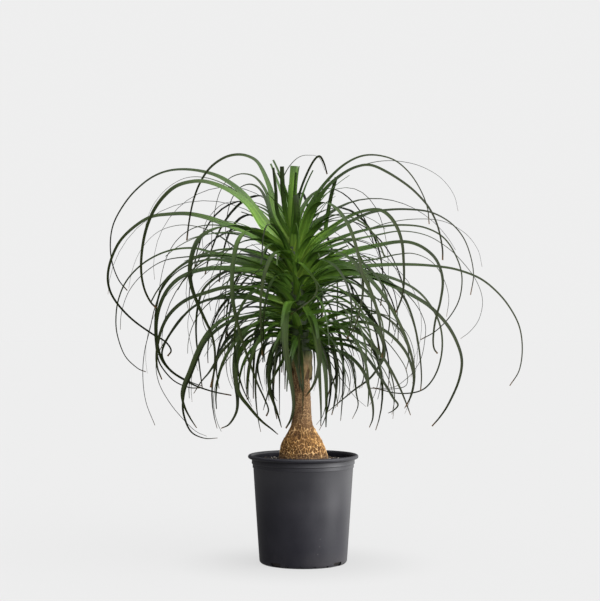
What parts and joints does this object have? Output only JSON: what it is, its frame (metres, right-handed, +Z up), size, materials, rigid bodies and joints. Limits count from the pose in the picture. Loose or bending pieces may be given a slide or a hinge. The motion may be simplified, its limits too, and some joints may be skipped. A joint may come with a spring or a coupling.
{
  "type": "potted ponytail palm",
  "caption": "Potted ponytail palm: swollen net-barked trunk and a fountain of long arching strap leaves, in a round tapered nursery pot filled with potting mix.",
  "frame": {"origin": "centre of the pot's underside, on the surface that the pot stands on", "axes": "+Z up along the pot's axis, +X to the right seen from the front, -Y towards the viewer"},
  "size_m": [0.9683, 0.8755, 0.9436],
  "materials": {
    "pot": "moulded charcoal plastic with a soft sheen",
    "potting_soil": "loose dark potting mix of bark, peat and perlite",
    "trunk": "tan and brown bark with a raised net",
    "dry_leaf_bases": "dry, tan, fibrous leaf bases",
    "leaf_crown": "smooth green strap leaves with a soft gloss"
  },
  "bodies": {
    "root": {"pot": "pot", "potting_soil": "potting_soil", "trunk": "trunk", "dry_leaf_bases": "dry_leaf_bases", "leaf_crown": "leaf_crown"}
  },
  "joints": []
}
